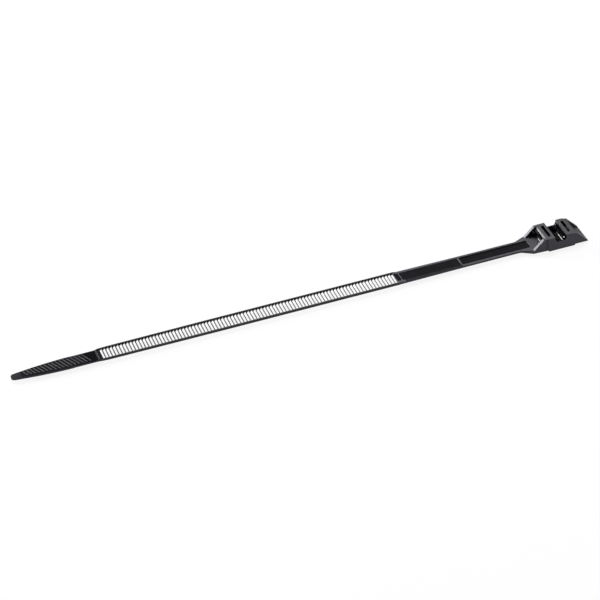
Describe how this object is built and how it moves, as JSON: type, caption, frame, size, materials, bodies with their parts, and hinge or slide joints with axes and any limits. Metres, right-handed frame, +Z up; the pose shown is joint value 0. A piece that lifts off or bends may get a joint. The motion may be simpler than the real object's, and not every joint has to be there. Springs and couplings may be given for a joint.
{
  "type": "cable tie",
  "caption": "Flat one-piece nylon cable tie: slanted-rib grip tail, ladder strap, grooved neck and a low trapezoid head with bridges and hanging pawls.",
  "frame": {"origin": "middle of the tie's length and width, at the height of the underside of the foot below the head", "axes": "+X along the strap from the tail tip to the head's nose, +Y across the strap, +Z up, from the smooth face that lies on the bundle towards the bridges"},
  "size_m": [0.2618, 0.0132, 0.0066],
  "materials": {
    "black_nylon": "satin moulded nylon, smooth, faintly grained on the head's walls"
  },
  "bodies": {
    "root": {"cable_tie": "black_nylon"}
  },
  "joints": []
}
